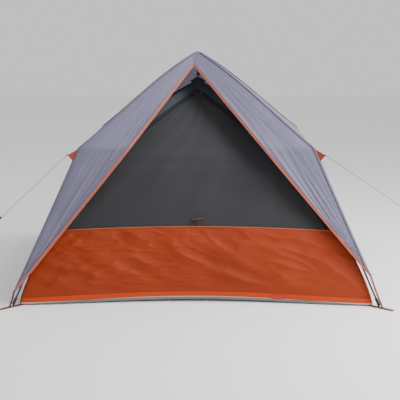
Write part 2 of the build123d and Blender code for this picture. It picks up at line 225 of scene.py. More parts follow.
def cord_tube(name, route, diameter):
    """A tube on the route's smooth curve, and the points of that curve."""
    bpy.ops.object.select_all(action="DESELECT")
    bpy.ops.curve.primitive_nurbs_path_add()
    piece = bpy.context.object
    piece.name = name
    curve = piece.data
    curve.splines.clear()
    curve.dimensions = "3D"
    spline = curve.splines.new("NURBS")
    spline.points.add(len(route) - 1)
    for point, spot in zip(spline.points, route):
        point.co = (*spot, 1)
    spline.order_u = 3
    spline.use_endpoint_u = True
    spline.resolution_u = 16
    piece.location = (0, 0, 0)
    bare = bpy.data.meshes.new_from_object(piece)
    path = [tuple(vertex.co) for vertex in bare.vertices]
    bpy.data.meshes.remove(bare)
    curve.bevel_depth = diameter / 2
    curve.bevel_resolution = 3
    curve.use_fill_caps = True
    bpy.ops.object.convert(target="MESH")
    piece.data.name = name
    bpy.ops.object.shade_smooth()
    return piece, path


def linear(hex_colour):
    """The linear colour of an sRGB hex value, as shader sockets take it."""
    channels = [int(hex_colour[i:i + 2], 16) / 255 for i in (1, 3, 5)]
    return [c / 12.92 if c <= 0.04045 else ((c + 0.055) / 1.055) ** 2.4 for c in channels] + [1]


BUMP_STRENGTH = 0.6
WAVE_PITCH = 0.314          # a wave texture at this scale repeats once in a metre


def add_node(tree, kind, settings=(), inputs=()):
    """A shader node with its settings, and its inputs given as values or as sockets to link."""
    made = tree.nodes.new(kind)
    for key, value in dict(settings).items():
        setattr(made, key, value)
    for key, value in dict(inputs).items():
        if isinstance(value, bpy.types.NodeSocket):
            tree.links.new(value, made.inputs[key])
        else:
            made.inputs[key].default_value = value
    return made


def finish_material(tree, colour, bump_from, height, shine):
    """The material's shader: its colour and bump come from sockets, the bump height is in metres."""
    shader = tree.nodes["Principled BSDF"]
    tree.links.new(colour, shader.inputs["Base Color"])
    for key, value in shine.items():
        shader.inputs[key].default_value = value
    bump = add_node(tree, "ShaderNodeBump", {},
                    {"Height": bump_from, "Strength": BUMP_STRENGTH, "Distance": height})
    tree.links.new(bump.outputs["Normal"], shader.inputs["Normal"])


def new_material(name):
    """An empty material and its node tree."""
    material = bpy.data.materials.new(name)
    material.use_nodes = True
    return material, material.node_tree


def woven(name, light, dark, thread, shine, blotch=2.5, soil=None):
    """Woven cloth: two thread directions on the UV map in metres, with slow changes of tone."""
    material, tree = new_material(name)
    place = add_node(tree, "ShaderNodeTexCoord")
    warp = add_node(tree, "ShaderNodeTexWave", {"bands_direction": "X"},
                    {"Vector": place.outputs["UV"], "Scale": WAVE_PITCH / thread, "Distortion": 0.4})
    weft = add_node(tree, "ShaderNodeTexWave", {"bands_direction": "Y"},
                    {"Vector": place.outputs["UV"], "Scale": WAVE_PITCH / thread, "Distortion": 0.4})
    weave = add_node(tree, "ShaderNodeMath", {"operation": "MAXIMUM"},
                     {0: warp.outputs["Fac"], 1: weft.outputs["Fac"]})
    slow = add_node(tree, "ShaderNodeTexNoise", {},
                    {"Vector": place.outputs["Object"], "Scale": blotch, "Detail": 5, "Roughness": 0.6})
    tone = add_node(tree, "ShaderNodeMix", {"data_type": "RGBA"},
                    {"Factor": slow.outputs["Fac"], 6: linear(light), 7: linear(dark)})
    thread_tone = add_node(tree, "ShaderNodeMapRange", {},
                           {"Value": weave.outputs[0], 3: 0.88, 4: 1.04})
    shaded = add_node(tree, "ShaderNodeMix", {"data_type": "RGBA", "blend_type": "MULTIPLY"},
                      {"Factor": 1, 6: tone.outputs[2], 7: thread_tone.outputs[0]})
    colour = shaded.outputs[2]
    if soil:
        height = add_node(tree, "ShaderNodeSeparateXYZ", {}, {0: place.outputs["Object"]})
        patchy = add_node(tree, "ShaderNodeTexNoise", {},
                          {"Vector": place.outputs["Object"], "Scale": 14, "Detail": 6})
        low = add_node(tree, "ShaderNodeMapRange", {},
                       {"Value": height.outputs["Z"], 1: 0.0, 2: 0.14, 3: 0.55, 4: 0.0})
        share = add_node(tree, "ShaderNodeMath", {"operation": "MULTIPLY"},
                         {0: low.outputs[0], 1: patchy.outputs["Fac"]})
        soiled = add_node(tree, "ShaderNodeMix", {"data_type": "RGBA"},
                          {"Factor": share.outputs[0], 6: colour, 7: linear(soil)})
        colour = soiled.outputs[2]
    finish_material(tree, colour, weave.outputs[0], thread * 0.12, shine)
    return material


def paint(piece, material):
    """The piece's one material."""
    piece.data.materials.clear()
    piece.data.materials.append(material)


# Braided polyester: warm grey, a soft dull surface. The braid is drawn at 3 mm.
guy_cord = woven("braided_polyester_cord", "#5c5250", "#494140", 0.003, {"Roughness": 0.8})
guy_lines = {}
for side, route in GUY_ROUTES.items():
    line, path = cord_tube(f"guy_line_{side}_cord", route, GUY_DIAMETER)
    paint(line, guy_cord)
    guy_lines[side] = (line, path)

# Fly: silver-grey polyester with a thin waterproof coating, cut as two front, two side and one back
# panel, pulled over the poles. Each panel is a fine grid laid on its surface, with pull folds.
FLY_KEEP = 0.34             # share of its height that the fly keeps when the frame is folded
RIDGE_TOP = 1.266
RIDGE_ELBOW = (0.617, 0.774)    # half width and height of the fly at the poles' elbows
RIDGE_HEM = (0.904, 0.112)      # and at its hem
RAISED_HEM = 0.150          # the front right corner hangs a little higher than the back ones
LOW_HEM = 0.062             # and the front left one is pulled right down
FRONT_PEAK = Vector((-0.022, -0.1, 1.1863))     # top of the front opening
FRONT_BEND = 0.3469         # half width of the opening at the height of the elbows
INSIDE = Vector((0, 0, 0.33))                   # a point that every sheet's outer face looks away from
SMOOTH_ANGLE = math.radians(40)


def ridge(v, low=RIDGE_HEM[1]):
    """Half width and height of the fly's corner seam: apex at 0, elbow at 0.5, hem at 1."""
    if v <= 0.5:
        s = v * 2
        bow = 0.034 * math.sin(math.pi * s) * (1 - s)
        return RIDGE_ELBOW[0] * s, RIDGE_TOP + (RIDGE_ELBOW[1] - RIDGE_TOP) * s + bow
    s = (v - 0.5) * 2 * (RIDGE_ELBOW[1] - low) / (RIDGE_ELBOW[1] - RIDGE_HEM[1])
    bow = math.sin(math.pi * min(s, 1))
    half = RIDGE_ELBOW[0] + (RIDGE_HEM[0] - RIDGE_ELBOW[0]) * s - 0.002 * bow
    return half, RIDGE_ELBOW[1] + (RIDGE_HEM[1] - RIDGE_ELBOW[1]) * s


def turn(point, quarters):
    """A point turned about the tent's middle by quarter turns."""
    x, y, z = point
    for _ in range(quarters):
        x, y = -y, x
    return Vector((x, y, z))


def cloth(name, rows, columns, place, size, folds=None, thickness=0.0012):
    """A sheet on place(u, v), u from -1 to 1 across, v from 0 to 1 down, folded along its normal."""
    bpy.ops.object.select_all(action="DESELECT")
    bpy.ops.mesh.primitive_grid_add(x_subdivisions=columns, y_subdivisions=rows, size=2)
    piece = bpy.context.object
    piece.name = name
    mesh = piece.data
    mesh.name = name
    for loop in mesh.uv_layers.active.data:
        loop.uv = (loop.uv[0] * size[0], loop.uv[1] * size[1])
    spots = [(vertex.co.x, (1 - vertex.co.y) / 2) for vertex in mesh.vertices]
    for vertex, (u, v) in zip(mesh.vertices, spots):
        vertex.co = place(u, v)
    mesh.update()
    facing = sum((vertex.co - INSIDE).dot(vertex.normal) for vertex in mesh.vertices)
    if facing < 0:
        mesh.flip_normals()
        mesh.update()
    if folds:
        moves = [vertex.normal * folds(u, v, vertex.co) for vertex, (u, v) in zip(mesh.vertices, spots)]
        for vertex, move in zip(mesh.vertices, moves):
            vertex.co += move
    bpy.ops.object.mode_set(mode="EDIT")
    bpy.ops.mesh.select_all(action="SELECT")
    bpy.ops.mesh.remove_doubles(threshold=0.00005)
    bpy.ops.object.mode_set(mode="OBJECT")
    bpy.ops.object.modifier_add(type="SOLIDIFY")
    wall = piece.modifiers[-1]
    wall.thickness = thickness
    wall.offset = -1
    bpy.ops.object.modifier_apply(modifier=wall.name)
    bpy.ops.object.shade_smooth_by_angle(angle=SMOOTH_ANGLE)
    return piece


def soft_noise(a, b, seed):
    """Smooth noise from about -1 to 1."""
    return noise.noise(Vector((a, b, seed)))


def edge_fade(u, v):
    """1 in the middle of a panel and 0 on its seams."""
    return min(1, (1 - abs(u)) * 6) * min(1, v * 10) * min(1, (1 - v) * 10)


def fly_folds(seed, front=False):
    """Broad slack between the poles, and finer folds that run down from the elbows."""
    def folds(u, v, spot):
        broad = soft_noise(spot.x * 2.2 + spot.y * 1.4, spot.z * 2.6, seed) * 0.011
        pull = soft_noise((abs(u) * 1.3 - v) * 5, (abs(u) + v) * 1.2, seed + 9) * 0.009 * min(1, v * 2)
        fine = soft_noise(spot.x * 7 + spot.z * 4, spot.y * 7 - spot.z * 5, seed + 21) * 0.0025
        if front:
            return (0.5 * broad + 0.6 * pull + fine + 0.005) * min(1, (1 + u) * 0.9) * edge_fade(u, v)
        return (broad + pull + fine - 0.004) * edge_fade(u, v) * min(1, (1 - abs(u)) * 4)
    return folds


def fly_side(quarters):
    """The surface of a side or back panel: sloping roof above the elbows, steep wall below."""
    def place(u, v):
        low = RIDGE_HEM[1]
        if quarters == 1 and u < 0:
            low = RAISED_HEM + (RIDGE_HEM[1] - RAISED_HEM) * (1 + u)
        if quarters == 3 and u > 0:
            low = LOW_HEM + (RIDGE_HEM[1] - LOW_HEM) * (1 - u)
        half, z = ridge(v, low)
        slack = (1 - u * u)
        s = min(v * 2, 1) if v <= 0.5 else (v - 0.5) * 2
        inward = 0.018 * math.sin(math.pi * s) * slack
        lift = 0.045 * slack * max(0, (v - 0.85) / 0.15) ** 2
        back, down = (0.6, 0.7) if v <= 0.5 else (1, 0)
        return turn((u * half, -half + inward * back, z + lift - inward * down), quarters)
    return place


def front_edge(v, side, low):
    """A point on the fly's front opening edge."""
    hem_half, hem_z = ridge(1, low)
    bend = Vector((side * FRONT_BEND, -RIDGE_ELBOW[0] - 0.002, RIDGE_ELBOW[1]))
    hem = Vector((side * hem_half, -hem_half, hem_z))
    if v <= 0.5:
        return FRONT_PEAK.lerp(bend, v * 2)
    return bend.lerp(hem, (v - 0.5) * 2)


def fly_front(side, low):
    """The surface between a front pole's ridge and the opening's edge."""
    def place(u, v):
        half, z = ridge(v, low)
        across = (u + 1) / 2
        point = Vector((side * half, -half, z)).lerp(front_edge(v, side, low), across)
        sag = 0.010 * math.sin(math.pi * across ** 2) * math.sin(math.pi * v)
        return point + Vector((0, sag * 0.8, -sag * 0.5))
    return place


# Coated polyester: an even grey with a faint cold tint and a dull sheen. The ripstop weave is too
# fine to show, so it is drawn at 5 mm.
fly_cloth = woven("coated_polyester_silver_grey", "#706d86", "#5e5b73", 0.005,
                  {"Roughness": 0.52, "Sheen Weight": 0.15, "Specular IOR Level": 0.4,
                   "Subsurface Weight": 0.7, "Subsurface Scale": 0.008,
                   "Subsurface Radius": (1, 1, 1)}, soil="#7a7464")
fly_pieces = {}
for name, quarters in (("fly_right", 1), ("fly_back", 2), ("fly_left", 3)):
    piece = cloth(f"{name}_panel", 110, 110, fly_side(quarters), (1.8, 1.5), fly_folds(quarters * 3.7))
    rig.sheet(piece, flat=(1.8, 1.52), area=1.63, held="stretched", rests_on=["hub_cap"])
    fly_pieces[name] = piece
for name, side, low in (("fly_front_left", -1, LOW_HEM), ("fly_front_right", 1, RAISED_HEM)):
    piece = cloth(f"{name}_panel", 120, 40, fly_front(side, low), (0.27, 1.6),
                  fly_folds(side * 5.3, True))
    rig.sheet(piece, flat=(0.28, 1.6), area=0.235, held="stretched", rests_on=["hub_cap"])
    fly_pieces[name] = piece
for name, piece in fly_pieces.items():
    paint(piece, fly_cloth)
    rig.ride(piece, "shelter")
    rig.replaces(piece, name)
    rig.slot(piece, "fly_cloth")
    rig.squash(piece, "frame_fold", axis=(0, 0, 1), anchor=(0, 0, 0), keep=FLY_KEEP)


# Fly seams and hems: the panels are joined over the poles with felled seams, a doubled strip about
# 14 mm wide, and the bottom edges are turned up twice into a 22 mm hem.
def strip(name, rows, line, across, width, thickness=0.0016, columns=4):
    """A narrow band along line(v), which is width wide in the direction across(v)."""
    def place(u, v):
        return line(v) + across(v) * (u * width / 2)
    return cloth(name, rows, columns, place, (width, 1.5), None, thickness)


def ridge_line(corner_x, corner_y, low):
    """The corner seam over one pole, just proud of the panels."""
    def line(v):
        v = min(max(v, 0.012), 0.995)
        half, z = ridge(v, low)
        return Vector((corner_x * (half + 0.0008), corner_y * (half + 0.0008), z + 0.0012))
    return line


def front_seam(v):
    """The short seam from the peak down to the opening."""
    return Vector((0, 0, RIDGE_TOP)).lerp(FRONT_PEAK, 0.1 + 0.86 * v) + Vector((0, -0.001, 0.0022))


# Doubled coated polyester: the fly's grey, a shade darker where four layers meet.
SEAM_TAPE = 0.014
seam_cloth = woven("felled_seam_grey", "#66637a", "#555268", 0.004, {"Roughness": 0.6})
seam_strips = []
for name, corner_x, corner_y, low in (
    ("front_left", -1, -1, LOW_HEM), ("front_right", 1, -1, RAISED_HEM),
    ("back_left", -1, 1, RIDGE_HEM[1]), ("back_right", 1, 1, RIDGE_HEM[1]),
):
    tangent = Vector((corner_y, -corner_x, 0)).normalized()
    seam = strip(f"fly_seam_{name}", 120, ridge_line(corner_x, corner_y, low), lambda v: tangent,
                 SEAM_TAPE)
    seam_strips.append(seam)
seam_strips.append(strip("fly_seam_front", 12, front_seam, lambda v: Vector((1, 0, 0)), 0.009, 0.0014))
for name, quarters in (("right", 1), ("back", 2), ("left", 3)):
    side_place = fly_side(quarters)

    def hem_place(u, v, side_place=side_place):
        """The hem: the lowest 22 mm of the panel, a little outside it."""
        point = side_place(u, 0.984 + 0.016 * v)
        out = Vector((point.x, point.y, 0)).normalized()
        return point + out * 0.0016

    hem = cloth(f"fly_hem_{name}", 4, 110, hem_place, (1.8, 0.022), None, 0.0022)
    seam_strips.append(hem)
for seam in seam_strips:
    paint(seam, seam_cloth)
    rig.ride(seam, "shelter")
    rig.slot(seam, "fly_cloth")
    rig.squash(seam, "frame_fold", axis=(0, 0, 1), anchor=(0, 0, 0), keep=FLY_KEEP)

# Front binding: a folded salmon-pink tape over a cord, sewn round the fly's front edges. It is a
# band 10 mm wide on the cloth with a round 5 mm bead at the edge.
BINDING_WIDTH = 0.010
BEAD_DIAMETER = 0.005
# Woven polyester tape: faded salmon pink, matt, ribbed at 2 mm.
binding_cloth = woven("salmon_binding_tape", "#a45a4c", "#8c473a", 0.002, {"Roughness": 0.75})
binding_pieces = []
for name, side, low in (("left", -1, LOW_HEM), ("right", 1, RAISED_HEM)):
    def band_line(v, side=side, low=low):
        """Just outside the opening's edge."""
        return front_edge(v * 0.985, side, low) + Vector((side * 0.007, -0.0035, 0.002))

    def band_across(v, side=side):
        """Out over the panel."""
        return Vector((side * 0.8, 0, 0.6)).normalized()

    binding_pieces.append(strip(f"fly_binding_{name}", 100, band_line, band_across,
                                BINDING_WIDTH, 0.0015))
    bead_route = [front_edge(v, side, low) + Vector((0, -0.002, -0.001))
                  for v in (0.0, 0.12, 0.26, 0.40, 0.47, 0.53, 0.62, 0.76, 0.90, 0.975)]
    bead, _ = cord_tube(f"fly_piping_{name}", bead_route, BEAD_DIAMETER)
    binding_pieces.append(bead)
for piece in binding_pieces:
    paint(piece, binding_cloth)
    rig.ride(piece, "shelter")
    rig.slot(piece, "binding")
    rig.squash(piece, "frame_fold", axis=(0, 0, 1), anchor=(0, 0, 0), keep=FLY_KEEP)
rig.replaces(binding_pieces[0], "fly_piping")

# Inner tent: a breathable cabin hung under the poles, orange walls on a grey tub floor, with a dark
# grey roof. Its edges curve in between the corners, because only the corners are pulled out.
INNER_KEEP = 0.12           # share of its height that the inner tent keeps when the frame is folded
SHOULDER_HALF = 0.556       # half width where the roof meets the walls
SHOULDER_Z = 0.690
PEAK_Z = 1.100
FLOOR_HALF = 0.891
FLOOR_BOW = 0.080           # how far each edge pulls in between the corners, at the floor
SILL_BOW = 0.010            # and at the sill
SILL_Z = 0.360              # top of the front wall, where the netting starts
TUB_Z = 0.021               # top of the turned-up floor


def wall_half(z):
    """Half width of the inner tent at its corner seam, which bulges a little below the shoulder."""
    bulge = 0.030 * math.sin(math.pi * max(z / SHOULDER_Z, 0) ** 0.6)
    return SHOULDER_HALF + (SHOULDER_Z - z) / SHOULDER_Z * (FLOOR_HALF - SHOULDER_HALF) + bulge


def wall_point(u, z):
    """A point on the front wall; the other walls are this one turned."""
    half = wall_half(z)
    slack = max(0, 1 - u * u) ** 1.7
    if z < SILL_Z:
        bow = SILL_BOW + (FLOOR_BOW - SILL_BOW) * max(0, 1 - z / SILL_Z) ** 1.3
    else:
        bow = SILL_BOW * math.sin(math.pi * (SHOULDER_Z - z) / (SHOULDER_Z - SILL_Z) / 2)
    low_lift = 0.012 * slack * max(0, 1 - z / 0.2)
    sill_lift = 0.022 * slack ** 0.6 * math.exp(-((z - SILL_Z) / 0.15) ** 2)
    return (u * half, -half + bow * slack, z + low_lift + sill_lift)


def wall_between(low, high, quarters):
    """The wall's surface between two heights."""
    def place(u, v):
        z = high + (low - high) * v
        if low == TUB_Z and z < 0.1:
            z -= (TUB_Z - 0.006) * u * u * (0.1 - z) / (0.1 - TUB_Z)
        if high == TUB_Z:
            z -= (TUB_Z - 0.006) * u * u * (1 - v)
        return turn(wall_point(u, z), quarters)
    return place


def wall_folds(seed):
    """Diagonal pull folds that fall to the right, and fine level wrinkles low on the left."""
    def folds(u, v, spot):
        fade = min(1, (1 - abs(u)) * 6) * min(1, v * 10) * min(1, max(0, 0.91 - v) * 9)
        slant = soft_noise((u * 1.6 + v * 1.1) * 2.2, (v - u * 0.9) * 6.5, seed) * 0.012
        crest = (1 - min(1, 3 * abs(soft_noise((u + v) * 2, (v - u * 1.1) * 5, seed + 3)))) ** 2 * 0.005
        level = (1 - min(1, 3 * abs(soft_noise(u * 5, v * 13, seed + 5)))) ** 2
        level *= 0.005 * max(0, 0.7 - u)
        fine = soft_noise(u * 13 + v * 6, v * 11, seed + 11) * 0.002
        return fade * (slant + crest + level + fine)
    return folds


# Breathable polyester: a deep burnt orange, matt, plain weave drawn at 4 mm.
orange_cloth = woven("breathable_polyester_orange", "#902f00", "#782200", 0.004,
                     {"Roughness": 0.62, "Specular IOR Level": 0.25}, blotch=3.5)
inner_pieces = []
for name, quarters in (("right", 1), ("back", 2), ("left", 3)):
    wall = cloth(f"inner_wall_{name}_cloth", 70, 110, wall_between(TUB_Z, SHOULDER_Z, quarters),
                 (1.5, 0.75), wall_folds(quarters * 2.9))
    paint(wall, orange_cloth)
    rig.replaces(wall, f"inner_wall_{name}")
    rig.sheet(wall, flat=(1.78, 0.74), area=1.06, held="stretched", rests_on=["inner_roof"])
    inner_pieces.append((wall, "orange_cloth"))
front_wall = cloth("front_wall_cloth", 80, 160, wall_between(TUB_Z, SILL_Z, 0), (1.7, 0.37),
                   wall_folds(0.7))
paint(front_wall, orange_cloth)
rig.replaces(front_wall, "front_wall")
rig.sheet(front_wall, flat=(1.76, 0.37), area=0.58, held="stretched", rests_on=["floor_sheet"])
inner_pieces.append((front_wall, "orange_cloth"))

# Inner hem: the lowest 25 mm of each wall is doubled and looks a brighter orange. Below it a pale
# tape covers the seam of the front wall and the floor.
HEM_TOP = 0.046
HEM_PROUD = 0.0018
SEAM_PROUD = 0.0032
SEAM_WIDTH = 0.006
hem_orange = woven("doubled_hem_orange", "#b43a00", "#a03000", 0.003,
                   {"Roughness": 0.6, "Specular IOR Level": 0.25})
# Taped seam: a pale pinkish grey, quite matt.
pale_tape = woven("pale_seam_tape", "#b39a90", "#9c857b", 0.003, {"Roughness": 0.8})


def proud(low, high, out, quarters=0):
    """A wall's surface between two heights, moved outwards by a small distance."""
    place = wall_between(low, high, quarters)

    def moved(u, v):
        return place(u, v) + turn(Vector((u * 0.3, -1, 0)).normalized() * out, quarters)
    return moved


for quarters, tag in enumerate(("front", "right", "back", "left")):
    hem = cloth(f"inner_hem_{tag}", 5, 110, proud(TUB_Z, HEM_TOP, HEM_PROUD, quarters),
                (1.7, 0.028), None, 0.0026)
    paint(hem, hem_orange)
    inner_pieces.append((hem, "orange_cloth"))

# A short folded tab of plain red tape is caught in the hem, right of the middle.
HEM_TAB_AT = 0.47           # share of the way from the middle to the right corner


def hem_tab_place(u, v):
    """A patch 60 mm wide on the hem band."""
    spot = Vector(wall_point(HEM_TAB_AT + u * 0.034, 0.036 - 0.020 * v))
    return spot + Vector((0, -0.0045, 0))


hem_tab = cloth("hem_tab", 4, 12, hem_tab_place, (0.06, 0.02), None, 0.0018)
paint(hem_tab, woven("plain_red_tape", "#a82312", "#96200f", 0.002, {"Roughness": 0.6}))
inner_pieces.append((hem_tab, "red_webbing"))
stitch_band = cloth("sill_seam_tape", 3, 140, proud(TUB_Z - SEAM_WIDTH, TUB_Z, SEAM_PROUD),
                    (1.7, 0.007), None, 0.0015)
paint(stitch_band, pale_tape)
inner_pieces.append((stitch_band, "orange_cloth"))


# Floor: laminated woven polyethylene, turned up 21 mm all round into a tub. Its edges lift a little
# off the ground between the corners.
def floor_place(u, v):
    """The ground sheet between the curved lower edges of the walls."""
    w = 1 - 2 * v
    x = u * (FLOOR_HALF - FLOOR_BOW * max(0, 1 - w * w) ** 1.7)
    y = w * (FLOOR_HALF - FLOOR_BOW * max(0, 1 - u * u) ** 1.7)
    rim = max(abs(u), abs(w)) ** 10
    return Vector((x, y, 0.0013 + 0.010 * rim * ((1 - u * u) ** 2 + (1 - w * w) ** 2)))


# Laminated polyethylene: cool grey with a faint plastic gloss, flat tapes 6 mm wide, soiled low down.
floor_cloth = woven("laminated_polyethylene_grey", "#6a6f74", "#5a5f64", 0.006,
                    {"Roughness": 0.42, "Specular IOR Level": 0.55}, soil="#6b6455")
floor_piece = cloth("floor_sheet_cloth", 90, 90, floor_place, (1.78, 1.78))
paint(floor_piece, floor_cloth)
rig.replaces(floor_piece, "floor_sheet")
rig.sheet(floor_piece, flat=(1.8, 1.8), held="laid", rests_on=["corner_straps"])
inner_pieces.append((floor_piece, "floor_cloth"))
for quarters, tag in enumerate(("front", "right", "back", "left")):
    tub = cloth(f"floor_tub_{tag}", 8, 120, wall_between(0.001, TUB_Z, quarters), (1.7, 0.035),
                lambda u, v, spot: soft_noise(u * 11, v * 2, 3.3) * 0.0016 * edge_fade(u, 0.5), 0.0014)
    paint(tub, floor_cloth)
    inner_pieces.append((tub, "floor_cloth"))


# Inner roof: three dark grey triangles from the shoulders to the peak, and the strips of the front
# slope above the zips.
def roof_point(x, y):
    """A point on the front slope of the roof: its seams bow up and the cloth dips between them."""
    reach = -y / SHOULDER_HALF
    across = 0 if y == 0 else x / y
    rise = math.sin(math.pi * min(reach, 1)) * (0.025 - 0.012 * (1 - across * across))
    return Vector((x, y, PEAK_Z + (SHOULDER_Z - PEAK_Z) * reach + rise))


def roof_place(quarters):
    """One triangle of the roof."""
    def place(u, v):
        y = -SHOULDER_HALF * v
        return turn(roof_point(u * -y, y), quarters)
    return place


# Breathable polyester: dark slate, matt, the same weave as the orange walls.
roof_cloth = woven("breathable_polyester_slate", "#3a424b", "#2f363d", 0.004, {"Roughness": 0.7})
for quarters, tag in ((1, "right"), (2, "back"), (3, "left")):
    roof = cloth(f"inner_roof_{tag}", 60, 70, roof_place(quarters), (1.1, 0.67),
                 lambda u, v, spot: soft_noise(spot.x * 7, spot.y * 7, 1.9) * 0.003 * edge_fade(u, v))
    paint(roof, roof_cloth)
    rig.sheet(roof, flat=(1.12, 0.67), area=0.375, held="stretched", rests_on=["peak_cap"])
    inner_pieces.append((roof, "roof_cloth"))
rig.replaces(inner_pieces[-1][0], "inner_roof")

ZIP_INSET = 0.085
DOOR_KNEE = SHOULDER_HALF - ZIP_INSET
DOOR_FOOT = 0.655


def door_edge(v):
    """Half width and place of the door's zipped edge: down the roof slope, then down the wall."""
    if v <= 0.6:
        y = -ZIP_INSET - (SHOULDER_HALF - ZIP_INSET) * v / 0.6
        return -y - ZIP_INSET, y, None
    share = (v - 0.6) / 0.4
    return DOOR_KNEE + (DOOR_FOOT - DOOR_KNEE) * share, None, SHOULDER_Z + (SILL_Z - SHOULDER_Z) * share


def front_point(x, y, z):
    """A point of the inner front, on the roof slope or on the wall."""
    if z is None:
        return roof_point(x, y)
    half = wall_half(z)
    return Vector(wall_point(x / half, z))


def door_place(u, v):
    """The door between its zips, just inside them."""
    def net(w):
        """The net with a sharp bend at the shoulders."""
        edge, y, z = door_edge(min(max(w, 0), 1))
        return front_point(u * max(edge - 0.003, 0.0005), y, z)

    w = 0.004 + v * 0.989
    rounded = (net(w - 0.05) + net(w + 0.05)) / 2
    return net(w).lerp(rounded, math.exp(-((w - 0.6) / 0.05) ** 2))


def border_place(side):
    """The roof strip above one zip, from the zip out to the corner seam."""
    def place(u, v):
        y = -SHOULDER_HALF * v
        near = max(-y - ZIP_INSET, 0)
        return roof_point(side * (near + (-y - near) * (u + 1) / 2), y)
    return place


def cheek_place(side):
    """The mesh strip beside the door's lower edge, from the zip out to the corner seam."""
    def place(u, v):
        z = SHOULDER_Z + (SILL_Z - SHOULDER_Z) * v
        near = DOOR_KNEE + (DOOR_FOOT - DOOR_KNEE) * v
        half = wall_half(z)
        return Vector(wall_point((near + (half - near) * (u + 1) / 2) / half, z))
    return place


# Insect mesh: fine charcoal netting, dull, with slack level and slanting folds. The net is drawn
# opaque at 5 mm; its dark openings are painted shade for the dim inside of the tent behind them.
NET_PITCH = 0.005
mesh_material, tree = new_material("charcoal_insect_mesh")
place = add_node(tree, "ShaderNodeTexCoord")
net_x = add_node(tree, "ShaderNodeTexWave", {"bands_direction": "X"},
                 {"Vector": place.outputs["UV"], "Scale": WAVE_PITCH / NET_PITCH, "Distortion": 0.2})
net_y = add_node(tree, "ShaderNodeTexWave", {"bands_direction": "Y"},
                 {"Vector": place.outputs["UV"], "Scale": WAVE_PITCH / NET_PITCH, "Distortion": 0.2})
net = add_node(tree, "ShaderNodeMath", {"operation": "MAXIMUM"},
               {0: net_x.outputs["Fac"], 1: net_y.outputs["Fac"]})
veil = add_node(tree, "ShaderNodeTexNoise", {},
                {"Vector": place.outputs["Object"], "Scale": 2.0, "Detail": 4})
# The tone is partly the netting's own charcoal and partly painted shade of the dim inside seen through it.
veil_and_painted_shade_tone = add_node(tree, "ShaderNodeMix", {"data_type": "RGBA"},
                     {"Factor": veil.outputs["Fac"], 6: linear("#1b1c20"), 7: linear("#131417")})
# Painted shade: the openings between the threads darken to 0.72, for the shaded inside seen through the net.
net_painted_opening_shade = add_node(tree, "ShaderNodeMapRange", {}, {"Value": net.outputs[0], 3: 0.72, 4: 1.05})
net_colour_with_painted_shade = add_node(tree, "ShaderNodeMix", {"data_type": "RGBA", "blend_type": "MULTIPLY"},
                      {"Factor": 1, 6: veil_and_painted_shade_tone.outputs[2], 7: net_painted_opening_shade.outputs[0]})
finish_material(tree, net_colour_with_painted_shade.outputs[2], net.outputs[0], 0.0005,
                {"Roughness": 0.78, "Sheen Weight": 0.1})


def mesh_folds(u, v, spot):
    """Shallow level folds across the netting and one or two slanting ones."""
    level = soft_noise(u * 1.5, v * 9, 4.4) * 0.005
    slant = soft_noise((u + v) * 5, (u - v) * 1.2, 8.8) * 0.004
    return (level + slant) * edge_fade(u, v)


door = cloth("mesh_door_net", 130, 120, door_place, (1.2, 1.0), mesh_folds, 0.0009)
paint(door, mesh_material)
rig.ride(door, "door")
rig.replaces(door, "mesh_door")
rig.slot(door, "mesh")
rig.sheet(door, flat=(1.3, 0.93), area=0.73, held="stretched", rests_on=["front_wall"])
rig.squash(door, "frame_fold", axis=(0, 0, 1), anchor=(0, 0, 0), keep=INNER_KEEP)
border_pieces = []
for side, tag in ((-1, "left"), (1, "right")):
    band = cloth(f"front_roof_band_{tag}", 60, 10, border_place(side), (0.09, 0.67), None)
    paint(band, roof_cloth)
    inner_pieces.append((band, "roof_cloth"))
    border_pieces.append(band)
    cheek = cloth(f"front_mesh_cheek_{tag}", 40, 8, cheek_place(side), (0.08, 0.36), None, 0.0009)
    paint(cheek, mesh_material)
    inner_pieces.append((cheek, "mesh"))
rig.replaces(border_pieces[0], "front_border")


# Zips: black coil zips on 25 mm tape, one down each side of the door, and a narrow dark brown tape
# on the sill.
ZIP_TAPE_WIDTH = 0.025
ZIP_LIFT = 0.003            # the tapes lie this far outside the cloth


def zip_line(side):
    """The zip's route down the door's edge."""
    def line(v):
        edge, y, z = door_edge(v)
        point = front_point(side * edge, y, z)
        lift = Vector((0, -0.5, 0.85)) if z is None else Vector((0, -0.9, 0.42))
        return point + lift * ZIP_LIFT
    return line


def zip_across(side):
    """Square to the zip, in the plane of the roof or of the wall."""
    def across(v):
        way = Vector((side * 1.54, 1, 0.74)) if v <= 0.6 else Vector((side, 0, 0.45))
        return way.normalized()
    return across


# Zip tape: black polyester, matt, woven at 2 mm.
zip_tape = woven("black_zip_tape", "#0d0e10", "#08090a", 0.002, {"Roughness": 0.7})
for side, tag in ((-1, "left"), (1, "right")):
    tape = strip(f"zip_tape_{tag}", 110, zip_line(side), zip_across(side),
                 ZIP_TAPE_WIDTH, 0.0012)
    paint(tape, zip_tape)
    inner_pieces.append((tape, "black_webbing"))
    coil_line = zip_line(side)
    coil_route = [coil_line(v) + Vector((0, -0.001, 0.0015)) for v in np.linspace(0.01, 0.99, 40)]
    coil, _ = cord_tube(f"zip_coil_{tag}", coil_route, 0.004)
    paint(coil, zip_tape)
    inner_pieces.append((coil, "black_webbing"))
    if side < 0:
        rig.replaces(tape, "zip_tapes")
SILL_TAPE = (SILL_Z - 0.001, SILL_Z + 0.006)
SILL_STITCHING = (SILL_Z - 0.005, SILL_Z - 0.001)
sill_tape = cloth("sill_tape", 3, 120, proud(*SILL_TAPE, ZIP_LIFT), (1.4, 0.007), None, 0.0014)
brown_tape = woven("dark_brown_tape", "#2a100b", "#1e0c08", 0.002, {"Roughness": 0.7})
paint(sill_tape, brown_tape)
inner_pieces.append((sill_tape, "black_webbing"))

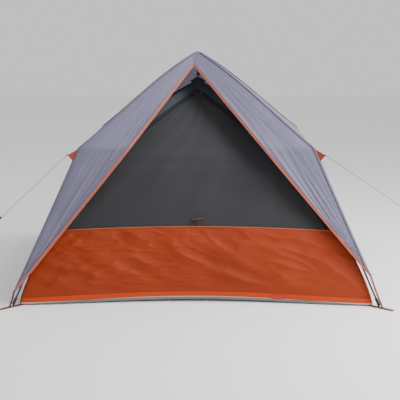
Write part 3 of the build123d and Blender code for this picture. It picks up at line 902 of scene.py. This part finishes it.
# Under the tape the wall's top edge is turned over and sewn with a paler thread, 4 mm wide.
sill_stitching = cloth("sill_stitching", 3, 120, proud(*SILL_STITCHING, ZIP_LIFT), (1.4, 0.004),
                       None, 0.0012)
paint(sill_stitching, woven("pale_orange_thread", "#99522f", "#874527", 0.002, {"Roughness": 0.75}))
inner_pieces.append((sill_stitching, "orange_cloth"))

# Corner seams: a bound strip of the roof's slate cloth on the roof, and of the walls' orange cloth
# from the shoulders down to the floor.
for corner_x, corner_y, tag in (
    (-1, -1, "front_left"), (1, -1, "front_right"), (-1, 1, "back_left"), (1, 1, "back_right"),
):
    def roof_seam(v, corner_x=corner_x, corner_y=corner_y):
        """From the peak out to the shoulder."""
        half = SHOULDER_HALF * v + 0.0016
        z = roof_point(0, -SHOULDER_HALF * v).z + 0.012 * math.sin(math.pi * v)
        return Vector((corner_x * half, corner_y * half, z + 0.0016))

    def wall_seam(v, corner_x=corner_x, corner_y=corner_y):
        """From the shoulder down to the floor."""
        z = SHOULDER_Z - (SHOULDER_Z - 0.004) * v
        half = wall_half(z) + 0.0016
        return Vector((corner_x * half, corner_y * half, z + 0.0008))

    tangent = Vector((corner_y, -corner_x, 0)).normalized()
    for part, line, cloth_of in (("roof", roof_seam, roof_cloth), ("wall", wall_seam, orange_cloth)):
        tape = strip(f"inner_seam_{part}_{tag}", 60, line, lambda v, tangent=tangent: tangent,
                     0.012, 0.0012)
        paint(tape, cloth_of)
        inner_pieces.append((tape, "roof_cloth" if part == "roof" else "orange_cloth"))
for piece, slot_name in inner_pieces:
    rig.ride(piece, "shelter")
    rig.slot(piece, slot_name)
    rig.squash(piece, "frame_fold", axis=(0, 0, 1), anchor=(0, 0, 0), keep=INNER_KEEP)


# Peak: a doubled square patch of slate cloth over the four seams, and the webbing strap that hangs
# it from the hub.
CAP_REACH = 0.046           # from the patch's middle to each corner


def cap_place(u, v):
    """The patch, its corners down the middle of each slope."""
    w = 1 - 2 * v
    x, y = (u - w) * CAP_REACH / 2, (u + w) * CAP_REACH / 2
    reach = (abs(x) + abs(y)) / CAP_REACH
    droop = 0.026 * max(0, -y / CAP_REACH)
    return Vector((x, y, PEAK_Z + 0.019 - 0.024 * reach ** 1.3 - droop))


cap = cloth("peak_cap_patch", 16, 16, cap_place, (0.07, 0.07), None, 0.003)
paint(cap, woven("doubled_slate_cloth", "#3a3e43", "#2e3236", 0.002, {"Roughness": 0.75}))
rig.replaces(cap, "peak_cap")
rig.slot(cap, "roof_cloth")
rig.ride(cap, "shelter")
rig.squash(cap, "frame_fold", axis=(0, 0, 1), anchor=(0, 0, 0), keep=INNER_KEEP)
# Polyester webbing: soft black with a flat rib 2.5 mm wide.
webbing_black = woven("black_polyester_webbing", "#26282b", "#1b1c1f", 0.0025, {"Roughness": 0.65})
strap_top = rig.box("hanging_strap")[1][2]


def strap_line(v):
    """From just under the hub down to the patch."""
    drop = strap_top - PEAK_Z - 0.024
    return Vector((0.002 * math.sin(v * 3), 0, strap_top - 0.001 - v * drop))


strap = strip("hanging_strap_web", 24, strap_line, lambda v: Vector((1, 0, 0)), 0.019, 0.0018)
paint(strap, webbing_black)
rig.replaces(strap, "hanging_strap")
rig.slot(strap, "black_webbing")
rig.ride(strap, "shelter")
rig.squash(strap, "frame_fold", axis=(0, 0, 1), anchor=(0, 0, 0), keep=FLY_KEEP)


# Guy tabs: triangles of doubled red cloth sewn into the fly's corner seams at the front elbows.
# Each guy is tied to its tab with a small round knot.
TAB_TOP = 0.002             # along the seam below the elbow: the tab's ends and its tip
TAB_BOTTOM = 0.078
TAB_MIDDLE = 0.044
TAB_REACH = 0.0415          # and how far the tip stands out from the seam


def tab_corners(side):
    """The tab's three corners: two on the seam below the elbow, one outside it that holds the guy."""
    elbow = Vector((side * RIDGE_ELBOW[0], -RIDGE_ELBOW[0], RIDGE_ELBOW[1]))
    hem = Vector((side * RIDGE_HEM[0], -RIDGE_HEM[0], RIDGE_HEM[1]))
    down = (hem - elbow).normalized()
    out = Vector((side, -0.25, 0.1)).normalized()
    return (elbow + down * TAB_TOP, elbow + down * TAB_BOTTOM,
            elbow + out * TAB_REACH + down * TAB_MIDDLE)


guy_tabs = {}
# Doubled polyester: a strong dark red, matt.
red_tab = woven("doubled_red_cloth", "#8c2414", "#721c0f", 0.002, {"Roughness": 0.7})
for side, tag in ((-1, "left"), (1, "right")):
    top, bottom, tip = tab_corners(side)

    def tab_place(u, v, top=top, bottom=bottom, tip=tip):
        """Across from the seam to the tip, down from the top corner to the bottom one."""
        share = (u + 1) / 2
        return top.lerp(bottom, v).lerp(tip, share)

    tab = cloth(f"guy_tab_{tag}_cloth", 14, 10, tab_place, (0.04, 0.07), None, 0.002)
    paint(tab, red_tab)
    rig.replaces(tab, f"guy_tab_{tag}")
    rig.slot(tab, "red_webbing")
    bpy.ops.object.select_all(action="DESELECT")
    start = Vector(GUY_ROUTES[tag][0])
    bpy.ops.mesh.primitive_torus_add(major_radius=0.0034, minor_radius=0.0018, major_segments=20,
                                     minor_segments=8, location=start, rotation=(0.6, 0.9 * side, 0.3))
    knot = bpy.context.object
    knot.name = f"guy_knot_{tag}"
    bpy.ops.object.transform_apply(location=True, rotation=True, scale=True)
    bpy.ops.object.shade_smooth()
    paint(knot, guy_cord)
    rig.slot(knot, "guy_cord")
    guy_tabs[tag] = (tab, knot)
    line, path = guy_lines[tag]
    for piece in (tab, knot, line):
        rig.ride(piece, "shelter")
    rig.replaces(line, f"guy_line_{tag}")
    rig.slot(line, "guy_cord")

# Guy runners: flat nylon sliders, 30 mm long, threaded on each guy just before its loop.
RUNNER_SIZE = (0.030, 0.006, 0.0115)


def soften(piece, width, segments):
    """Round a hard piece's edges and shade it smooth."""
    bpy.ops.object.modifier_add(type="BEVEL")
    bevel = piece.modifiers[-1]
    bevel.width = width
    bevel.segments = segments
    bpy.ops.object.modifier_apply(modifier=bevel.name)
    bpy.ops.object.shade_smooth_by_angle(angle=SMOOTH_ANGLE)


def hard_finish(name, light, dark, cast, grain, height, shine, detail=3):
    """Plastic or metal: its tone drifts at the scale of cast, and grain gives a fine bump."""
    material, tree = new_material(name)
    place = add_node(tree, "ShaderNodeTexCoord")
    drift, texture = (add_node(tree, "ShaderNodeTexNoise", {},
                               {"Vector": place.outputs["Object"], "Scale": scale, "Detail": detail})
                      for scale in (cast, grain))
    tone = add_node(tree, "ShaderNodeMix", {"data_type": "RGBA"},
                    {"Factor": drift.outputs["Fac"], 6: linear(light), 7: linear(dark)})
    finish_material(tree, tone.outputs[2], texture.outputs["Fac"], height, shine)
    return material


# Moulded nylon: near black, satin, with a fine spark-eroded grain and faint flow marks.
nylon = hard_finish("moulded_black_nylon", "#1f2124", "#151619", 40, 900, 0.0002, {"Roughness": 0.46})
for tag in ("left", "right"):
    low, high = (Vector(c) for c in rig.box(f"guy_runner_{tag}"))
    line, path = guy_lines[tag]
    tab_end, far_end = Vector(path[0]), Vector(GUY_ROUTES[tag][1])
    along = (far_end - tab_end).normalized()
    bpy.ops.object.select_all(action="DESELECT")
    bpy.ops.mesh.primitive_cube_add(size=1, location=(low + high) / 2,
                                    rotation=along.to_track_quat("X", "Z").to_euler())
    runner = bpy.context.object
    runner.name = f"guy_runner_{tag}_body"
    runner.scale = RUNNER_SIZE
    bpy.ops.object.transform_apply(location=True, rotation=True, scale=True)
    soften(runner, 0.002, 3)
    paint(runner, nylon)
    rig.ride(runner, f"runner_{tag}")
    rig.replaces(runner, f"guy_runner_{tag}")
    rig.slot(runner, "black_nylon")
    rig.cord(line, exit=path[0], length=GUY_LENGTHS[tag], diameter=GUY_DIAMETER,
            far_end="object", stiffness="limp", lay="taut", path=path, with_pieces=[runner])
    for piece in (runner, line, *guy_tabs[tag]):
        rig.squash(piece, "frame_fold", axis=(0, 0, 1), anchor=(0, 0, 0), keep=FLY_KEEP)

# Zip sliders: small die-cast sliders near the top of the two zips, each with a flat pull. Their
# shape is the CAD one with its edges rounded.
# Lacquered zinc: pale warm grey, half metallic, rubbed in places.
slider_metal = hard_finish("painted_zinc_slider", "#c9c6c0", "#9f9c97", 220, 220, 0.0001,
                           {"Roughness": 0.4, "Metallic": 0.6}, detail=4)
for tag in ("left", "right"):
    source = frame["nodes"][f"zip_slider_{tag}"]
    slider = source.copy()
    slider.data = source.data.copy()
    slider.name = f"zip_slider_{tag}_body"
    slider.parent = None
    bpy.context.collection.objects.link(slider)
    bpy.ops.object.select_all(action="DESELECT")
    slider.select_set(True)
    bpy.context.view_layer.objects.active = slider
    slider.matrix_world = source.matrix_world.copy()
    bpy.ops.object.transform_apply(location=True, rotation=True, scale=True)
    bpy.ops.object.mode_set(mode="EDIT")
    bpy.ops.mesh.select_all(action="SELECT")
    bpy.ops.mesh.remove_doubles(threshold=0.00002)
    bpy.ops.object.mode_set(mode="OBJECT")
    soften(slider, 0.0006, 2)
    paint(slider, slider_metal)
    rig.ride(slider, f"zip_{tag}")
    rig.replaces(slider, f"zip_slider_{tag}")
    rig.slot(slider, "zip_metal")
    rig.squash(slider, "frame_fold", axis=(0, 0, 1), anchor=(0, 0, 0), keep=INNER_KEEP)

# Door toggle: a short dark brown plastic peg on a loop of brown tape, low on the netting. It holds
# the door when it is rolled up.
TOGGLE_RADIUS = 0.0062
TOGGLE_TILT = math.radians(6)
toggle_low, toggle_high = (Vector(c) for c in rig.box("door_toggle"))
cad_middle = (toggle_low + toggle_high) / 2
net_spot = front_point(cad_middle.x, None, cad_middle.z - 0.013)
toggle_middle = net_spot + Vector((0, -0.0125, 0.004))
toggle_length = toggle_high.x - toggle_low.x - 0.002
bpy.ops.object.select_all(action="DESELECT")
bpy.ops.mesh.primitive_cylinder_add(radius=TOGGLE_RADIUS, depth=toggle_length, vertices=24,
                                    location=toggle_middle, rotation=(0, math.pi / 2 - TOGGLE_TILT, 0))
toggle = bpy.context.object
toggle.name = "door_toggle_peg"
bpy.ops.object.transform_apply(location=True, rotation=True, scale=True)
soften(toggle, 0.0018, 3)
paint(toggle, hard_finish("moulded_brown_acetal", "#4c2616", "#371a0e", 120, 120, 0.0001,
                          {"Roughness": 0.4}))
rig.ride(toggle, "door")
loop_foot = front_point(toggle_middle.x, None, SILL_Z + 0.006) + Vector((0, -0.006, 0))


def loop_line(v):
    """From the front of the peg down to the sill."""
    loop_top = toggle_middle + Vector((0, -0.0068, 0))
    return loop_top.lerp(loop_foot, v) + Vector((0, -0.002 * math.sin(math.pi * v), 0))


toggle_loop = strip("door_toggle_loop", 10, loop_line, lambda v: Vector((1, 0, 0)), 0.008, 0.0014)
paint(toggle_loop, brown_tape)
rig.ride(toggle_loop, "door")
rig.slot(toggle_loop, "toggle_plastic")
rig.squash(toggle_loop, "frame_fold", axis=(0, 0, 1), anchor=(0, 0, 0), keep=INNER_KEEP)
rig.replaces(toggle, "door_toggle")
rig.slot(toggle, "toggle_plastic")
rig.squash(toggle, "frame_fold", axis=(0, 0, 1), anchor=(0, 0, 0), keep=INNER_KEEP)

# Corner webbing: dark red 25 mm straps from the floor's corners out past the feet, with a ring for
# each foot and a hole for a peg at the end.
# Polypropylene webbing: dark red, matt, ribbed at 3 mm and earthy near the ground.
red_webbing = woven("dark_red_webbing", "#842d33", "#6c2228", 0.003, {"Roughness": 0.75},
                    soil="#4a3a30")
WEB_START = 1.20            # distances from the tent's middle, out along each corner
WEB_LENGTH = 0.198
WEB_WIDTH = 0.0245
RING_AT, RING_HOLE = 1.3084, 0.0102
PEG_AT, PEG_HOLE = 1.382, 0.0066
CORNER_TURNS = {"front_left": 225, "front_right": 315, "back_left": 135, "back_right": 45}
eyelets = []
for tag, degrees in CORNER_TURNS.items():
    out = Vector((math.cos(math.radians(degrees)), math.sin(math.radians(degrees)), 0))
    tangent = Vector((-out.y, out.x, 0))

    def web_line(v, out=out):
        """From under the floor's corner to the strap's end."""
        return out * (WEB_START + WEB_LENGTH * v) + Vector((0, 0, 0.0019))

    web = strip(f"corner_strap_{tag}", 40, web_line, lambda v, tangent=tangent: tangent,
                WEB_WIDTH, 0.0017, 10)
    for radius, distance in ((RING_HOLE, RING_AT), (PEG_HOLE, PEG_AT)):
        bpy.ops.object.select_all(action="DESELECT")
        bpy.ops.mesh.primitive_cylinder_add(radius=radius, depth=0.02, vertices=32,
                                            location=out * distance)
        drill = bpy.context.object
        bpy.context.view_layer.objects.active = web
        bpy.ops.object.modifier_add(type="BOOLEAN")
        punch = web.modifiers[-1]
        punch.object = drill
        punch.operation = "DIFFERENCE"
        bpy.ops.object.modifier_apply(modifier=punch.name)
        bpy.data.objects.remove(drill)
    paint(web, red_webbing)
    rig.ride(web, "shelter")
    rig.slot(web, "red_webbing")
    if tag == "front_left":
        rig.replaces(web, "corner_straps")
    bpy.ops.object.select_all(action="DESELECT")
    bpy.ops.mesh.primitive_torus_add(major_radius=0.0084, minor_radius=0.0013, major_segments=32,
                                     minor_segments=8, location=out * PEG_AT + Vector((0, 0, 0.0015)))
    eyelet = bpy.context.object
    eyelet.name = f"peg_grommet_{tag}"
    bpy.ops.object.transform_apply(location=True, rotation=True, scale=True)
    bpy.ops.object.shade_smooth()
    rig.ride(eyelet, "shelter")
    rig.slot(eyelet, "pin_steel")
    eyelets.append(eyelet)

# Fly ties: narrow red webbing from each hem corner of the fly down to the corner strap, outside the
# leg, which pulls the fly tight.
TIE_FOOT = 1.3325
for tag, degrees in CORNER_TURNS.items():
    out = Vector((math.cos(math.radians(degrees)), math.sin(math.radians(degrees)), 0))
    tangent = Vector((-out.y, out.x, 0))
    high = {"front_right": RAISED_HEM, "front_left": LOW_HEM}.get(tag, RIDGE_HEM[1]) + 0.018
    reach = math.sqrt(2) * (RIDGE_HEM[0] + 0.4335 * (RIDGE_HEM[1] - high)) + 0.005

    def tie_line(v, out=out, high=high, reach=reach):
        """Down the outer side of the leg."""
        top = out * reach + Vector((0, 0, high))
        return top.lerp(out * TIE_FOOT + Vector((0, 0, 0.005)), v) - out * 0.003 * math.sin(math.pi * v)

    tie = strip(f"fly_tie_{tag}", 30, tie_line, lambda v, tangent=tangent: tangent, 0.0145, 0.0014)
    paint(tie, red_webbing)
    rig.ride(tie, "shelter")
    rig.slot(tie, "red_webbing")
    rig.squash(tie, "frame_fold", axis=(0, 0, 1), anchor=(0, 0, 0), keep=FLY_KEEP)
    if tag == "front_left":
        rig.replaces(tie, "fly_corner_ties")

# Rods: pultruded glass fibre, 9.5 mm, black, glossy with faint lengthwise streaks.
rod_finish = hard_finish("pultruded_glass_fibre_black", "#191a1d", "#0f1012", 260, 260, 0.00015,
                         {"Roughness": 0.28, "Coat Weight": 0.4, "Coat Roughness": 0.15}, detail=4)

# Pins and rings: plated steel, bright, with fine turning marks.
steel = hard_finish("plated_steel", "#c9cacc", "#a9abae", 600, 600, 0.00008,
                    {"Roughness": 0.32, "Metallic": 1})
for name, node in frame["nodes"].items():
    finish = None
    if name.startswith(("strut_rod", "leg_rod")):
        finish = rod_finish
    elif name.startswith(("elbow_pin", "hub_pins", "corner_rings")):
        finish = steel
    elif name.startswith(("strut_hub_eye", "elbow_tongue", "elbow_fork", "foot_tip", "hub_body",
                          "hub_cap")):
        finish = nylon
    if finish:
        for material_slot in node.material_slots:
            material_slot.material = finish
for eyelet in eyelets:
    paint(eyelet, steel)

# Studio: a plain pale floor, a soft sky, a wide light above and a weaker one on the right.
bpy.ops.object.select_all(action="DESELECT")
bpy.ops.mesh.primitive_plane_add(size=30, location=(0, 0, -0.0005))
ground = bpy.context.object
ground.name = "studio_floor"
ground_material, tree = new_material("studio_floor_paint")
tree.nodes["Principled BSDF"].inputs["Base Color"].default_value = linear("#f6f5f4")
tree.nodes["Principled BSDF"].inputs["Roughness"].default_value = 0.9
paint(ground, ground_material)
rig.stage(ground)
world = bpy.data.worlds.new("studio_sky")
bpy.context.scene.world = world
world.use_nodes = True
world.node_tree.nodes["Background"].inputs["Color"].default_value = linear("#ffffff")
world.node_tree.nodes["Background"].inputs["Strength"].default_value = 0.85


def studio_light(name, spot, aim, size, power):
    """A large square light that faces a point."""
    bpy.ops.object.light_add(type="AREA", location=spot)
    lamp = bpy.context.object
    lamp.name = name
    lamp.data.size = size
    lamp.data.energy = power
    lamp.rotation_euler = (Vector(aim) - Vector(spot)).to_track_quat("-Z", "Y").to_euler()


studio_light("sky_light", (2.4, -0.6, 3.6), (0.2, 0, 0.4), 2.0, 150)
studio_light("right_light", (3.0, -2.4, 2.0), (0.2, 0, 0.5), 1.5, 130)
studio_light("front_light", (0.5, -5.0, 1.6), (0, 0, 0.3), 2.0, 18)

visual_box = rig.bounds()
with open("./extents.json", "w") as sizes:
    json.dump({
        "cad": [[float(c) for c in corner] for corner in cad_box],
        "visual": [[float(c) for c in corner] for corner in visual_box],
    }, sizes)
